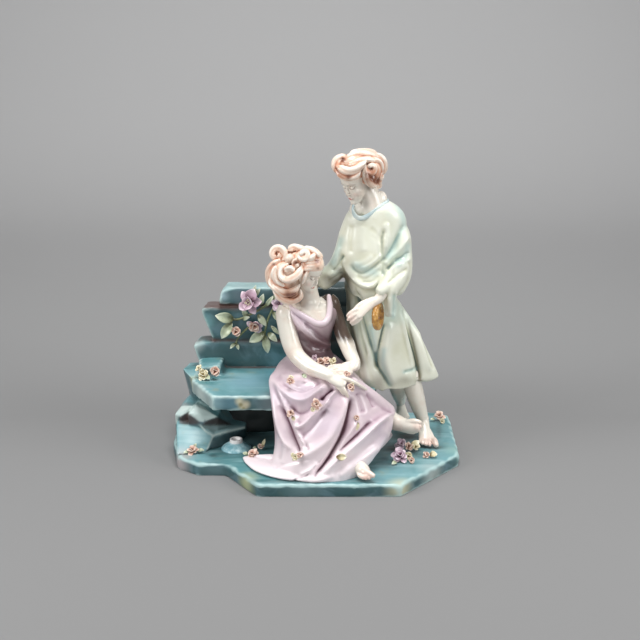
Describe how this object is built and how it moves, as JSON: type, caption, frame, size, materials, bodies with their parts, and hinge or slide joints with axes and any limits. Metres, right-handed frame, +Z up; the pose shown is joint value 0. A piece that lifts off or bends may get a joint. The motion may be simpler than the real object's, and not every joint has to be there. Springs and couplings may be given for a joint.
{
  "type": "porcelain figure group",
  "caption": "Glazed porcelain group: seated woman in a draped dress on a stepped bench, youth in a belted tunic at her side, on a low base with cut corners and applied blossoms.",
  "frame": {"origin": "centre of the base's underside, on the surface that it stands on", "axes": "+Z up through the figures, +X to the viewer's right, -Y towards the viewer, who faces the figures"},
  "size_m": [0.258, 0.17, 0.2801],
  "materials": {
    "glazed_stone": "glossy glaze, teal to grey-blue, mint and pink at the edges",
    "ivory_skin": "glossy glaze, ivory white with faint pink",
    "peach_hair": "glossy glaze, cream with peach in the hollows",
    "lilac_dress": "glossy glaze, pale lilac with deeper mauve folds",
    "green_tunic": "glossy glaze, pale green with light blue bands",
    "gilt_hoop": "gold-brown glaze",
    "blossoms": "glossy glaze, lilac, pink and yellow petals",
    "leaves": "glossy glaze, yellow-green and grey-green",
    "blue_bowl": "glossy glaze, light blue with a white foot ring"
  },
  "bodies": {
    "root": {"porcelain_group": "glazed_stone"}
  },
  "joints": []
}
